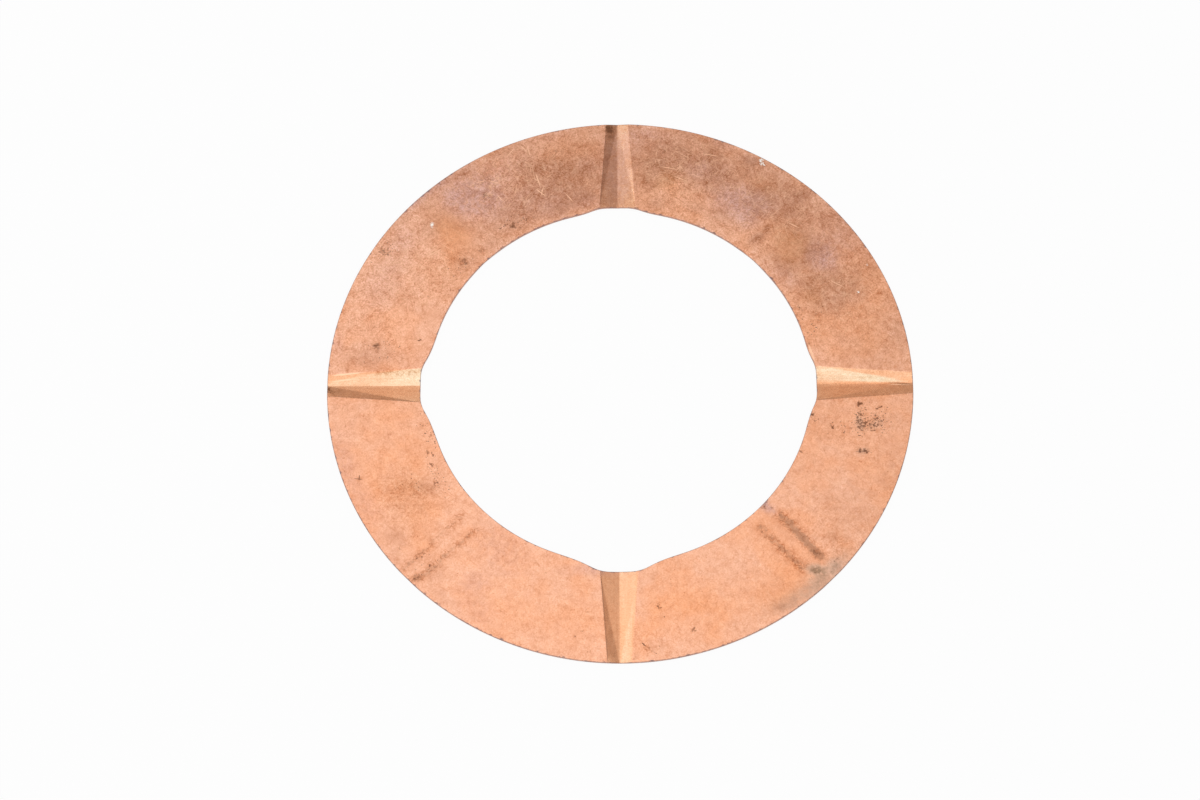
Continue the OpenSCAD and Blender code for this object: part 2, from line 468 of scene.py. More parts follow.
# Grey-green stains
STAIN = (
    (36.4, -32.4, 3, 1.3, 35, 0.22), (35.1, -33.6, 1.2, 0.9, 45, 0.14), (32.1, -34, 1.5, 0.9, 0, 0.95),
    (34, -35.4, 4.2, 1.7, 45, 0.5), (30.6, -37.7, 4.6, 1.8, 40, 0.36), (27, -40.1, 3.6, 1.4, 25, 0.1),
    (40.6, -8, 0.6, 1.4, 5, 0.6), (43, -8.2, 1.6, 0.7, 20, 0.3), (41, -12.9, 1, 0.45, -5, 0.5),
)
# Metal crossed by fine scratches
SCRATCHED = (
    (-19, 39, 8, 6, 25, 1), (12, 41, 10, 6, -15, 0.6), (28, 33, 8, 6, -45, 0.5),
    (38, 16, 7, 6, -60, 0.45), (-34, 22, 9, 7, 55, 0.55), (-37, -20, 7, 4, 60, 0.35),
)
# Clouds of fine dark droplets
SPATTER = (
    (40.7, -7.4, 0.75, 2.6, 0, 1.2), (43.2, -7.9, 2.2, 1.5, 25, 0.9), (42.6, -6.4, 3.4, 1.6, 20, 0.35),
    (40.9, -12.9, 1.3, 0.5, -10, 1), (38, -8.4, 3, 1, 0, 0.25), (-32.2, -10.5, 1.2, 3.5, 8, 0.6),
    (-30.8, -17, 1.4, 3, 15, 0.7), (-34, -18.4, 3, 1.2, -10, 0.35), (-33.4, -33, 2.6, 1.2, 45, 0.55),
    (-41, 25, 2, 1.4, 40, 0.6), (-41, 6, 3, 2, 0, 0.15), (-18, 30.5, 2.6, 1.4, 20, 0.5),
    (5.3, -47.6, 2.2, 0.8, 0, 0.3), (32.5, -34, 2.4, 1.6, 45, 0.12), (31, 13, 0.8, 2, 0, 0.5),
    (-27.5, 22.5, 2.4, 1.2, 30, 0.5), (33.8, 11, 1, 4, -20, 0.3),
)
# Metal with a rougher fine texture, and how much stronger it is there
ROUGHENED = (
    (-35, -21, 7, 6, 0, 0.9), (-33.5, 1, 4, 5, 0, 0.2), (36, -28, 7, 5, -45, 0.5),
    (-14, 39, 10, 6, 15, 0.7), (34, -33, 5, 4, 0, 0.8), (40, -9, 5, 5, 0, 0.6), (9, 38, 5, 4, 0, 0.8),
    (4, -46, 8, 3, 0, 0.5),
)
ROUGHENING = 0.3
# Metal rubbed smoother, and the share of its fine texture that is gone
SMOOTHED = (
    (-28.5, 28.5, 6, 3, -50, 0.8), (30, 25.5, 4, 3, 45, 0.6), (28.5, -28, 7, 1.6, -45, 0.6),
    (-34.5, 8.5, 3, 6, 15, 0.5), (-32, 12.2, 1.5, 2, 0, 0.8), (46, -11.8, 1.5, 2, 0, 0.7),
)
SMOOTHING = 0.6
# Strength of the fine texture at the front, its growth towards the back, and where that starts and
# ends
WEAR_FRONT = 0.5
WEAR_GROWTH = 0.5
WEAR_RISE = (-14, 22)
# The underside has the same wear and scratches all over
UNDER_WEAR = 0.7
UNDER_SCRATCHED = 0.3
# From this depth on the metal counts as struck
STRUCK_DEPTH = 0.02


def wear_at(x, y):
    """Strength of the fine texture on the upper face."""
    plain = WEAR_FRONT + WEAR_GROWTH * smooth_step(y, *WEAR_RISE)
    rougher = plain + ROUGHENING * patches(x, y, ROUGHENED)
    return rougher * (1 - SMOOTHING * patches(x, y, SMOOTHED))


def upper_masks(x, y):
    """What the material knows of the upper face, by vertex."""
    tone, pale = flank_tones(x, y)
    return {
        "struck": smooth_step(groove_depth(x, y, 0), 0, STRUCK_DEPTH),
        # The flanks' painted light and shade, darker too where the oxide lies thickest
        "tone": tone - THICK_OXIDE_SHADE * patches(x, y, THICK_OXIDE),
        # The flanks' painted highlight
        "pale": pale,
        "bruise": upper_bruises(x, y),
        "mauve": patches(x, y, MAUVE),
        "brown": patches(x, y, BROWN),
        "warm": patches(x, y, WARM),
        "stain": patches(x, y, STAIN),
        "scratched": patches(x, y, SCRATCHED),
        "spatter": patches(x, y, SPATTER),
        "wear": wear_at(x, y),
    }


def under_masks(x, y):
    """The same for the underside, which has grooves, bruises and wear but no marks of its own."""
    blank = np.zeros_like(x)
    masks = dict.fromkeys(("pale", "mauve", "brown", "warm", "stain", "spatter"), blank)
    masks["struck"] = smooth_step(groove_depth(x, y, PITCH / 2), 0, STRUCK_DEPTH)
    masks["tone"] = blank + 1
    masks["bruise"] = under_bruises(x, y)
    masks["scratched"] = blank + UNDER_SCRATCHED
    masks["wear"] = blank + UNDER_WEAR
    return masks


def grid_faces(first, stations_n, rows_n, flip):
    """Quads of a closed strip whose vertices run row by row at each station."""
    station, row = np.arange(stations_n)[:, None], np.arange(rows_n - 1)[None, :]
    a = first + station * rows_n + row
    b = first + (station + 1) % stations_n * rows_n + row
    quads = [a, a + 1, b + 1, b]
    if flip:
        quads.reverse()
    return np.stack(quads, -1).reshape(-1, 4)


def wall_faces(upper, lower, flip):
    """Quads between two closed loops of vertex numbers."""
    quads = [upper, lower, np.roll(lower, -1), np.roll(upper, -1)]
    if flip:
        quads.reverse()
    return np.stack(quads, -1)


def ring_surface():
    """The ring's vertices, the masks at each of them, and the quads of its faces and walls."""
    x, y, edge = ring_grid()
    count, rows = x.shape
    above, below = upper_masks(x, y), under_masks(x, y)
    top = SHEET - groove_depth(x, y, 0) - rolled(edge, ROLL_TOP) - BRUISE_DEPTH * above["bruise"]
    under = groove_depth(x, y, PITCH / 2) + rolled(edge, ROLL_UNDER) + BRUISE_DEPTH * below["bruise"]
    above.update(edge=edge, side=np.ones_like(x))
    below.update(edge=edge, side=-np.ones_like(x))

    points = [np.stack([x, y, z], -1).reshape(-1, 3) for z in (top, under)]
    masks = {name: [above[name].ravel(), below[name].ravel()] for name in above}
    faces = [grid_faces(0, count, rows, False), grid_faces(x.size, count, rows, True)]
    total = 2 * x.size
    for row, flip in ((0, True), (rows - 1, False)):
        loops = [np.arange(count) * rows + row]
        for k in range(1, WALL_ROWS):
            z = top[:, row] + (under[:, row] - top[:, row]) * k / WALL_ROWS
            points.append(np.stack([x[:, row], y[:, row], z], -1))
            for name in masks:
                masks[name].append(np.full(count, 1.0 if name == "tone" else 0.0))
            loops.append(total + np.arange(count))
            total += count
        loops.append(x.size + np.arange(count) * rows + row)
        for upper, lower in zip(loops, loops[1:]):
            faces.append(wall_faces(upper, lower, flip))
    masks = {name: np.concatenate(values) for name, values in masks.items()}
    return np.concatenate(points), masks, np.concatenate(faces)


def washer_mesh():
    """The ring as one closed mesh, with the masks that its material reads."""
    points, masks, faces = ring_surface()
    mesh = bpy.data.meshes.new("struck_washer")
    mesh.from_pydata((points * MM).tolist(), [], faces.tolist())
    mesh.polygons.foreach_set("use_smooth", [True] * len(mesh.polygons))
    for name, values in masks.items():
        mask = mesh.attributes.new(name, "FLOAT", "POINT")
        mask.data.foreach_set("value", values.astype(np.float32))
    mesh.update()
    return mesh


def linear(r, g, b):
    """A colour given in 8-bit sRGB, as the linear colour that a shader takes."""
    def one(v):
        v /= 255
        return v / 12.92 if v <= 0.04045 else ((v + 0.055) / 1.055) ** 2.4
    return one(r), one(g), one(b), 1.0


class Shader:
    """Adds nodes to a material or world. Each method but set gives back the socket of its result."""

    def __init__(self, owner):
        owner.use_nodes = True
        self.tree = owner.node_tree

    def set(self, node, key, value):
        """Sets a node's input to a value, or links it to another node's socket."""
        if isinstance(value, bpy.types.NodeSocket):
            self.tree.links.new(value, node.inputs[key])
        else:
            node.inputs[key].default_value = value

    def add(self, kind, inputs, output=0, **settings):
        """A node with its settings, and its inputs as numbers, colours or other nodes' sockets."""
        node = self.tree.nodes.new("ShaderNode" + kind)
        for key, value in settings.items():
            setattr(node, key, value)
        for key, value in inputs.items():
            self.set(node, key, value)
        return node.outputs[output]

    def math(self, operation, a, b=0.0, clamp=False):
        """The result of one operation on numbers."""
        return self.add("Math", {0: a, 1: b}, operation=operation, use_clamp=clamp)

    def chain(self, operation, first, *rest):
        """The first number, with each of the others worked into it in turn."""
        for value in rest:
            first = self.math(operation, first, value)
        return first

    def product(self, *values):
        """All the values multiplied together."""
        return self.chain("MULTIPLY", *values)

    def total(self, *values):
        """The sum of the values."""
        return self.chain("ADD", *values)

    def most(self, *values):
        """The largest of the values."""
        return self.chain("MAXIMUM", *values)

    def less(self, a, b):
        """a less b."""
        return self.math("SUBTRACT", a, b)

    def vector(self, operation, a, b=(0.0, 0.0, 0.0), output=0):
        """The result of one operation on vectors."""
        return self.add("VectorMath", {0: a, 1: b}, output, operation=operation)

    def scaled(self, vector, factor):
        """The vector times a number."""
        return self.add("VectorMath", {0: vector, "Scale": factor}, operation="SCALE")

    def turned(self, vector, angle):
        """The vector turned about Z."""
        return self.add("VectorRotate", {"Vector": vector, "Angle": angle}, rotation_type="Z_AXIS")

    def mask(self, name):
        """One of the mesh's masks."""
        return self.add("Attribute", {}, "Fac", attribute_type="GEOMETRY", attribute_name=name)

    def step(self, value, start, end, low=0.0, high=1.0):
        """low before start, high past end, and a smooth change between them."""
        inputs = {"Value": value, "From Min": start, "From Max": end, "To Min": low, "To Max": high}
        return self.add("MapRange", inputs, interpolation_type="SMOOTHSTEP")

    def noise(self, place, size, detail=2.0, roughness=0.5, output="Fac"):
        """Noise whose lumps are about size millimetres across."""
        inputs = {"Vector": place, "Scale": 1 / size, "Detail": detail, "Roughness": roughness}
        return self.add("TexNoise", inputs, output)

    def mix(self, factor, a, b, blend="MIX"):
        """A colour between a and b, or b blended over a in another way."""
        node = self.tree.nodes.new("ShaderNodeMix")
        node.data_type = "RGBA"
        node.blend_type = blend
        self.set(node, 0, factor)
        self.set(node, 6, a)
        self.set(node, 7, b)
        return node.outputs[2]

    def shaded(self, colour, shade, powers):
        """The colour times the shade, whose power differs for red, green and blue."""
        by_channel = {i: self.math("POWER", shade, power) for i, power in enumerate(powers)}
        return self.mix(1.0, colour, self.add("CombineXYZ", by_channel), "MULTIPLY")

    def curls(self, place, size, width):
        """Curly lines that wander over the surface, size millimetres apart."""
        off = self.math("ABSOLUTE", self.less(self.noise(place, size, 1.0), 0.5))
        return self.step(off, 0.3 * width, 1.3 * width, 1.0, 0.0)

    def dots(self, place, cell, radius, share):
        """Specks, at most one to a cell, of random size up to radius. share is between 0 and 1."""
        cells = self.tree.nodes.new("ShaderNodeTexVoronoi")
        self.set(cells, "Vector", place)
        self.set(cells, "Scale", 1 / cell)
        pick = self.add("SeparateColor", {0: cells.outputs["Color"]}, 0)
        size = self.step(pick, self.less(1.0, share), 1.0, 0.0, radius / cell)
        inner = self.product(size, 0.45)
        inputs = {"Value": cells.outputs["Distance"], "From Min": size, "From Max": inner}
        return self.add("MapRange", inputs, interpolation_type="SMOOTHSTEP")


# Dark spots on the upper face: x, y, radius, strength
SPOTS = (
    # Back left
    (-41.3, 25.2, 0.8, 0.6), (-40.3, 24.6, 0.6, 0.5), (-26.9, 22.9, 0.6, 0.6), (-18.7, 29.8, 0.6, 0.7),
    (-17.4, 29.6, 0.35, 0.5), (-23.6, 36, 0.65, 0.55), (-41.8, 6.8, 0.75, 0.65), (-34.5, 8.1, 0.26, 1),
    (-46.8, 10.2, 0.3, 0.45), (-43.1, 10.2, 0.3, 0.4), (-11.2, 44.7, 0.4, 0.5), (-16, 31.2, 0.35, 0.5),
    (-29.2, 17.5, 0.35, 0.5), (-30.7, 17.9, 0.2, 0.5), (-33, 16, 0.35, 0.4), (-36.8, 21.8, 0.3, 0.4),
    (-24, 25.2, 0.5, 0.5), (-1.8, 49.2, 0.9, 0.8), (-1.4, 47.8, 0.8, 0.5),
    # Back right
    (41.2, 16.4, 0.3, 0.5), (8.2, 44.4, 0.4, 0.5), (31, 13.6, 0.4, 0.5), (30.6, 12.3, 0.3, 0.6),
    (32.4, 6.8, 0.35, 0.5),
    # Front right
    (40.8, -4.35, 0.42, 0.9), (44, -4.85, 0.36, 0.88), (40.7, -7.9, 0.4, 0.6), (40.9, -6.5, 0.25, 0.6),
    (40.5, -8.7, 0.4, 0.7), (43.8, -8.2, 0.3, 0.6), (42.4, -8.6, 0.25, 0.6), (43, -9.2, 0.3, 0.7),
    (44.6, -7, 0.3, 0.6), (35.9, -8.5, 0.36, 0.9), (38.1, -8.4, 0.22, 0.6), (35.2, -9.8, 0.22, 0.6),
    (40.5, -12.85, 0.45, 0.9), (41.3, -13, 0.45, 0.9), (39.6, -12, 0.2, 0.5), (46.1, -5.5, 0.2, 0.5),
    (11.9, -44.4, 0.42, 0.65), (6.3, -40.3, 0.42, 0.7), (7, -42.2, 0.3, 0.6), (21.5, -36, 0.22, 0.4),
    (4.7, -47.8, 0.55, 0.35), (2.3, -49.2, 0.5, 0.5), (32.6, -6.3, 0.42, 0.8), (32.9, -7.5, 0.3, 0.6),
    (24, -23.1, 0.35, 0.6), (25.3, -22.9, 0.35, 0.6), (30.5, -12.9, 0.4, 0.6),
    (32.2, -33.9, 0.45, 0.45), (32.3, -31.1, 0.8, 0.5), (30.9, -33.1, 0.35, 0.55),
    (36, -32.2, 0.2, 0.6), (35.1, -34.3, 0.2, 0.6), (23.6, -27.3, 0.4, 0.5), (38.8, -7.4, 0.2, 0.6),
    (36.8, -8.6, 0.2, 0.6),
    # Front left
    (-32.6, -12.8, 0.4, 0.6), (-31.8, -15.2, 0.3, 0.7), (-31, -16.6, 0.3, 0.6),
    (-31.1, -18.2, 0.35, 0.6), (-29.5, -18.5, 0.25, 0.7), (-33.6, -8, 0.3, 0.5), (-32, -9.6, 0.25, 0.5),
    (-34, -11, 0.25, 0.4), (-43.9, -17.6, 0.4, 0.4), (-36.8, -29.9, 0.35, 0.5), (-34, -35.2, 0.8, 0.55),
    (-33.6, -31.5, 0.7, 0.4), (-12.4, -34.2, 0.35, 0.45), (-12, -32.4, 0.3, 0.35),
    (-9.9, -42.4, 0.28, 0.5), (-7.6, -45.6, 0.28, 0.5), (-5.6, -41, 0.3, 0.5), (-6.1, -44.4, 0.3, 0.5),
    (-5.3, -48, 0.3, 0.5), (-49.6, -1.3, 0.45, 0.9), (-49, -1.9, 0.4, 0.6),
)
# Nicks, painted white as glints where they catch the light: x, y, radius
NICK_GLINTS = (
    (-32.7, 30.2, 0.34), (25.2, 42.5, 0.28), (25.5, 41.9, 0.22), (41.3, 16.9, 0.2), (43.1, 21.9, 0.18),
)
# A round mark is full up to the first share of its radius and gone past the second
MARK_FADE = (0.3, 1.8)
# Straight marks: from, to, width. The pale ones are scratches and worn edges, painted pale partly for
# their bright metal and partly as a glint where they catch the light.
PALE_LINES = (
    (-16.3, 46, -15.6, 43.3, 0.22), (-14.8, 40.5, -13.7, 37.2, 0.26), (-25.3, 38.4, -23.2, 38.9, 0.2),
    (-23.2, 38.9, -20.9, 38.2, 0.2), (-19.8, 43.6, -18.6, 45.2, 0.2), (7, 41.5, 10.6, 40.8, 0.2),
    (9.5, 39.6, 12.2, 38.4, 0.2), (29.2, 30.4, 31.8, 29, 0.18), (-9.6, 36.4, -7.9, 34.4, 0.2),
    (36.4, 19, 39, 17.6, 0.18), (-33.5, 24, -30.8, 25.6, 0.18), (14.5, 44, 17.8, 43.4, 0.2),
    (45.5, -0.66, 49.9, -0.8, 0.16), (-17.5, 45.9, -16.3, 44.6, 0.22), (-14.8, 37.3, -12.7, 35.5, 0.26),
    (-13.2, 37.9, -13.8, 35.5, 0.22), (-21.5, 36, -20.3, 34.7, 0.24), (-49.7, 1.4, -43.4, 2.1, 0.4),
    (-49.7, 0.3, -44.6, 1, 0.3), (32.3, 7.1, 33.5, 3.1, 0.5),
)
# The dark ones are dirt, and dents with their shade painted in
DARK_LINES = (
    (45.5, -0.36, 49.9, -0.5, 0.2), (-42.7, 6.9, -41.1, 7.2, 0.34), (3.3, -46.5, 4.1, -47.3, 0.3),
    (-43.9, -16.6, -44, -18, 0.2), (-45, -17.4, -43.2, -17.7, 0.16),
)
# The same two shares for half the width and half the length of a straight mark
LINE_FADE = (0.5, 1.1)
# The upper face's noise is taken this far up and the underside's as far down, so that they differ. The
# upper face's marks lie up there too.
UPPER_OFFSET = 40


def marks_at(s, place, marks):
    """Strength of soft-edged round marks on the upper face, the strongest where they overlap."""
    strengths = []
    for x, y, radius, strength in marks:
        away = s.vector("DISTANCE", place, (x, y, UPPER_OFFSET), output="Value")
        strengths.append(s.step(away, MARK_FADE[0] * radius, MARK_FADE[1] * radius, strength, 0.0))
    return s.most(*strengths)


def lines_at(s, place, lines):
    """Strength of straight marks on the upper face, which thin out towards their ends."""
    strengths = []
    for x0, y0, x1, y1, width in lines:
        middle = s.vector("SUBTRACT", place, ((x0 + x1) / 2, (y0 + y1) / 2, UPPER_OFFSET))
        turned = s.turned(middle, -math.atan2(y1 - y0, x1 - x0))
        scale = (2 / math.hypot(x1 - x0, y1 - y0), 2 / width, 1.0)
        away = s.vector("LENGTH", s.vector("MULTIPLY", turned, scale), output="Value")
        strengths.append(s.step(away, *LINE_FADE, 1.0, 0.0))
    return s.most(*strengths)


# Hairlines: size and width of the two kinds of curls, bearings of the straight ones, and how finely
# the noise of those is drawn along and across them
CURLS = ((2.6, 0.016), (1.2, 0.022))
STREAK_BEARINGS = (35, 78, 131)
STREAK_SCALE = (0.22, 3.2, 1.0)
# The same for the streaks that the tool drew out along the flanks
DRAWN_SCALE = (0.12, 2.6)


def hairlines(s, place):
    """Curly and straight hairlines, broken up over the surface."""
    curls = s.most(*[s.curls(place, size, width) for size, width in CURLS])
    streaks = []
    for bearing in STREAK_BEARINGS:
        drawn_out = s.vector("MULTIPLY", s.turned(place, math.radians(bearing)), STREAK_SCALE)
        streaks.append(s.step(s.noise(drawn_out, 1.0, 1.0), 0.62, 0.72))
    broken = s.step(s.noise(place, 1.6, 2.0), 0.44, 0.58)
    return s.most(s.product(curls, broken), s.product(s.most(*streaks), 0.8))


def drawn_streaks(s, position):
    """Noise drawn out along X at the sides of the ring and along Y at its front and back, as the upper
    grooves run. The underside has the same noise, slantwise to its grooves."""
    along, across = DRAWN_SCALE
    along_x = s.noise(s.vector("MULTIPLY", position, (along, across, 1.0)), 1.0, 2.0)
    along_y = s.noise(s.vector("MULTIPLY", position, (across, along, 1.0)), 1.0, 2.0)
    split = s.tree.nodes.new("ShaderNodeSeparateXYZ")
    s.set(split, 0, s.vector("ABSOLUTE", position))
    sideways = s.math("GREATER_THAN", split.outputs[0], split.outputs[1])
    return s.total(s.product(along_x, sideways), s.product(along_y, s.less(1.0, sideways)))


# Colours of the land's metal, of the flanks' metal and of what lies on them, with the flanks' painted
# highlight, the pale of scratches with painted glints, painted glints at nicks, and the grey of the edges
PEACH = linear(238, 178, 146)
ORANGE = linear(238, 166, 124)
STRUCK = linear(238, 179, 137)
STRUCK_WARM = linear(253, 179, 132)
FLANK_HIGHLIGHT = linear(236, 211, 179)
FILM = linear(221, 175, 164)
OXIDE = linear(194, 137, 110)
WARM_OXIDE = linear(204, 143, 106)
THIN_STAIN = linear(203, 184, 166)
THICK_STAIN = linear(128, 116, 96)
BRUISE_DIRT = linear(128, 110, 94)
DIRT = linear(104, 66, 46)
SCRATCH_AND_GLINT = linear(255, 205, 170)
NICK_GLINT = linear(255, 246, 236)
EDGE_GREY = linear(118, 104, 112)
# Darker copper is redder too: how a shade works on red, green and blue, and how the flanks' painted light
# and shade does
SHADE_POWERS = (0.6, 1.0, 1.35)
FLANK_POWERS = (0.8, 1.0, 1.1)
# The dark hairlines are the pale ones' noise, taken this far away
WORM_SHIFT = (60, 30, 0)
# Height of the relief that the noise makes
RELIEF = 0.012


class WornCopper(Shader):
    """Copper with film, oxide, dirt, scratches and stains, from the mesh's masks and from noise."""

    def __init__(self, material):
        super().__init__(material)
        position = self.scaled(self.add("TexCoord", {}, "Object"), 1 / MM)
        flat = self.vector("MULTIPLY", position, (1.0, 1.0, 0.0))
        offset = self.add("CombineXYZ", {"Z": self.product(self.mask("side"), UPPER_OFFSET)})
        self.place = self.vector("ADD", flat, offset)
        ragged = self.noise(self.place, 0.8, 2.0, 0.7, "Color")
        ragged = self.scaled(self.vector("SUBTRACT", ragged, (0.5, 0.5, 0.5)), 1.8)
        self.warped = self.vector("ADD", self.place, ragged)

        self.broad = self.noise(self.place, 9.0, 2.0)
        self.cloud = self.noise(self.place, 3.2, 3.0, 0.6)
        self.mottle = self.noise(self.place, 1.0, 3.0, 0.6)
        self.fractal = self.noise(self.place, 3.0, 5.0, 1.0)
        self.crumbs = self.less(self.noise(self.place, 0.45, 2.0, 0.8), 0.5)
        self.drawn = drawn_streaks(self, position)

        self.struck, self.wear = self.mask("struck"), self.mask("wear")
        self.land = self.less(1.0, self.struck)
        self.film = self.product(self.mask("mauve"), self.mottled(0.65))
        self.stain = self.product(self.mask("stain"), self.mottled(0.7))
        self.spots = marks_at(self, self.warped, SPOTS)
        bruise = self.mask("bruise")
        self.near_bruise = self.step(bruise, 0.05, 0.6)
        bruise = self.total(bruise, self.less(self.mottle, 0.5), self.product(self.crumbs, 0.8))
        self.bruise_dirt = self.product(self.step(bruise, 0.4, 1.0), self.near_bruise)
        self.scratches = self.pale_scratches()
        self.dirt = self.dirt_marks()
        self.edge_line = self.edge_lines()

    def mottled(self, low):
        """The mottle, as a share between low and 1."""
        return self.step(self.mottle, 0.35, 0.6, low, 1.0)

    def where_struck(self, share):
        """1 on the land, and the share on the struck flanks."""
        return self.step(self.struck, 0.0, 1.0, 1.0, share)

    def pale_scratches(self):
        """Hairlines on the land, and single scratches and worn edges, which the colour paints pale partly
        as a glint.
        """
        scratched = self.step(self.mask("scratched"), 0.0, 0.8, 0.3, 1.0)
        scratches = self.product(hairlines(self, self.place), scratched, self.land)
        return self.most(self.product(scratches, 0.65), lines_at(self, self.place, PALE_LINES))

    def dirt_marks(self):
        """Spots, droplets and dark lines, with crumbly edges."""
        spatter = self.mask("spatter")
        coarse = self.dots(self.warped, 0.44, 0.26, spatter)
        fine = self.dots(self.place, 0.3, 0.15, spatter)
        blotches = self.step(self.total(spatter, self.product(self.crumbs, 2.0)), 0.85, 1.1)
        droplets = self.product(self.most(coarse, fine, self.product(blotches, 0.8)), 0.8)
        dirt = self.most(self.spots, droplets, lines_at(self, self.place, DARK_LINES))
        return self.step(self.total(dirt, self.crumbs), 0.3, 0.85, 0.0, 0.75)

    def edge_lines(self):
        """A grey line along every edge that darkens it, wider and stronger in places."""
        reach = self.total(self.step(self.mottle, 0.55, 0.72, 0.16, 0.5), self.product(self.film, 0.4))
        line = self.step(self.mask("edge"), 0.02, reach, 1.0, 0.0)
        return self.product(line, self.step(self.mottle, 0.4, 0.65, 0.3, 0.85))

    def metal(self):
        """Colour of the metal, from peach to orange, under a pale grey-pink film and brown oxide."""
        warm = self.mask("warm")
        orange = self.total(self.step(self.broad, 0.42, 0.62, 0.0, 0.5), self.product(warm, 0.7))
        orange = self.math("ADD", orange, self.product(self.less(self.cloud, 0.5), 0.9), clamp=True)
        colour = self.mix(orange, PEACH, ORANGE)
        colour = self.mix(self.product(self.struck, 0.85), colour, self.mix(warm, STRUCK, STRUCK_WARM))
        colour = self.mix(self.product(self.film, 0.85), colour, FILM)
        clouded = self.step(self.cloud, 0.35, 0.6, 0.75, 1.0)
        oxide = self.product(self.mask("brown"), clouded, self.mottled(0.8))
        return self.mix(oxide, colour, self.mix(warm, OXIDE, WARM_OXIDE))

    def fine_texture(self):
        """Shade of the fine texture, and of the streaks along the flanks. It is about 1."""
        grain = self.noise(self.place, 0.27, 1.0)
        texture = self.less(self.total(self.product(self.fractal, 1.7), grain), 1.35)
        texture = self.product(texture, self.wear, self.where_struck(0.7))
        streaks = self.product(self.less(self.drawn, 0.5), self.struck, 0.3)
        return self.total(texture, streaks, 1.0)

    def shade(self):
        """1 on plain metal, and less in pits, at specks, spots and dark hairlines, and over the bruises,
        partly as painted shade in their shallow dents.
        """
        deep = self.step(self.cloud, 0.4, 0.65, 0.1, 0.26)
        pits = self.product(self.step(self.mottle, 0.54, 0.7), self.land, deep, self.wear)
        thickly = self.step(self.broad, 0.35, 0.65, 0.35, 1.0)
        specks = self.most(self.dots(self.warped, 1.5, 0.3, 0.5), self.dots(self.place, 0.75, 0.16, 0.45))
        specks = self.product(specks, thickly, self.where_struck(0.4))
        worms = hairlines(self, self.vector("ADD", self.place, WORM_SHIFT))
        worms = self.product(worms, self.wear, self.land)
        clouded = self.step(self.cloud, 0.4, 0.55, 0.4, 1.0)
        curls = self.product(self.curls(self.place, 0.9, 0.05), clouded, self.near_bruise)
        # Over the bruises the metal is darker, partly as painted shade in their shallow dents
        darkening = (
            (pits, 1.0), (specks, 0.4), (self.spots, 0.25), (worms, 0.26), (self.mask("bruise"), 0.2),
            (self.bruise_dirt, 0.12), (curls, 0.4),
        )
        shade = self.fine_texture()
        for dark, amount in darkening:
            shade = self.product(shade, self.less(1.0, self.product(dark, amount)))
        return shade

    def colour(self):
        """The metal in its shade, with the flanks' painted light, shade and highlight, with scratches and
        painted glints, and with what hides it.
        """
        # The flanks' painted light and shade, darker too where the oxide lies thickest
        colour = self.shaded(self.metal(), self.mask("tone"), FLANK_POWERS)
        # The flanks' painted highlight
        pale = self.product(self.mask("pale"), self.step(self.drawn, 0.35, 0.6, 0.88, 1.05))
        colour = self.mix(pale, colour, FLANK_HIGHLIGHT)
        colour = self.shaded(colour, self.shade(), SHADE_POWERS)
        # Scratches and worn edges are painted pale, partly bright metal and partly a painted glint
        colour = self.mix(self.product(self.scratches, 0.8), colour, SCRATCH_AND_GLINT)
        stain_colour = self.mix(self.step(self.stain, 0.45, 1.0), THIN_STAIN, THICK_STAIN)
        colour = self.mix(self.product(self.stain, 0.7), colour, stain_colour)
        colour = self.mix(self.product(self.bruise_dirt, 0.36), colour, BRUISE_DIRT)
        colour = self.mix(self.dirt, colour, DIRT)
        # Painted glints: the nicks painted white where they catch the light
        nick_glints = marks_at(self, self.warped, [(x, y, radius, 1.0) for x, y, radius in NICK_GLINTS])
        # A grey line darkens every edge
        return self.mix(self.edge_line, self.mix(nick_glints, colour, NICK_GLINT), EDGE_GREY)

    def roughness(self):
        """Smoother on the flanks, and rougher under film, dirt and stains."""
        marks = self.most(self.dirt, self.stain, self.film, self.edge_line)
        rough = self.step(self.mottle, 0.3, 0.7, 0.28, 0.36)
        return self.total(rough, self.product(self.struck, -0.08), self.product(marks, 0.14))

    def relief(self):
        """The bumps that the noise and the scratches make, which are low on the flanks."""
        height = self.total(self.product(self.mottle, 0.6), self.product(self.fractal, 1.2))
        height = self.less(height, self.product(self.scratches, 0.12))
        height = self.product(height, self.where_struck(0.15))
        return self.add("Bump", {"Height": height, "Distance": RELIEF * MM, "Strength": 1.0})


def worn_copper():
    """The washer's one material."""
    material = bpy.data.materials.new("worn_copper")
    s = WornCopper(material)
    surface = s.tree.nodes["Principled BSDF"]
    s.set(surface, "Base Color", s.colour())
    s.set(surface, "Metallic", 1.0)
    s.set(surface, "Roughness", s.roughness())
    s.set(surface, "Normal", s.relief())
    return material


# The camera, fitted to the outlines of the rim and the bore
PHOTO_W = 1200
CAMERA_TILT = math.radians(23.03)
CAMERA_YAW = math.radians(1.23)
CAMERA_ROLL = math.radians(-1.45)
CAMERA_DISTANCE = 450
CAMERA_AIM = (-3.40, -3.35)
FOCAL_PIXELS = 2644
SENSOR_W = 36
CLIP_START = 10


def add_object(name, data):
    """A new object of the scene that shows the data."""
    thing = bpy.data.objects.new(name, data)
    bpy.context.scene.collection.objects.link(thing)
    return thing


